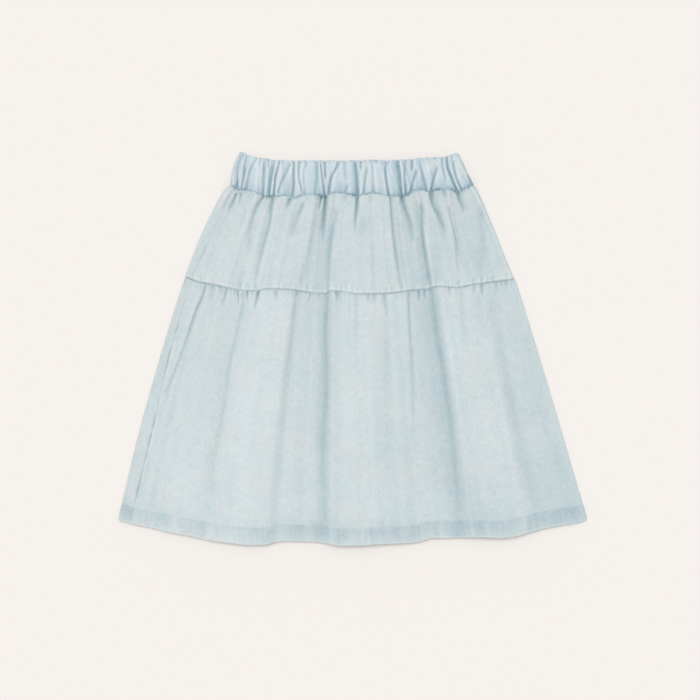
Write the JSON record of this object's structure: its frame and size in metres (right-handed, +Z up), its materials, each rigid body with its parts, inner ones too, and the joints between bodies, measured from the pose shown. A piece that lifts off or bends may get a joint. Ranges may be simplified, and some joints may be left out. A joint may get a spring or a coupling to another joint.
{
  "type": "denim skirt",
  "caption": "Child's pull-on tiered denim skirt laid flat: gathered elastic waistband, gathered upper and lower tiers, turned hem.",
  "frame": {"origin": "the middle of the skirt's extent, on the surface it lies on", "axes": "+X across the skirt to the wearer's left side, +Y along the skirt to the waist, +Z up off the surface, out of the front"},
  "size_m": [0.5158, 0.4358, 0.0124],
  "materials": {
    "denim": "bleached pale blue lightweight denim, right-hand twill, matt",
    "elastic": "white woven waist elastic"
  },
  "bodies": {
    "root": {"waistband_front": "denim", "waistband_back": "denim", "elastic": "elastic", "upper_front": "denim", "upper_back": "denim", "lower_front": "denim", "lower_back": "denim"}
  },
  "joints": []
}
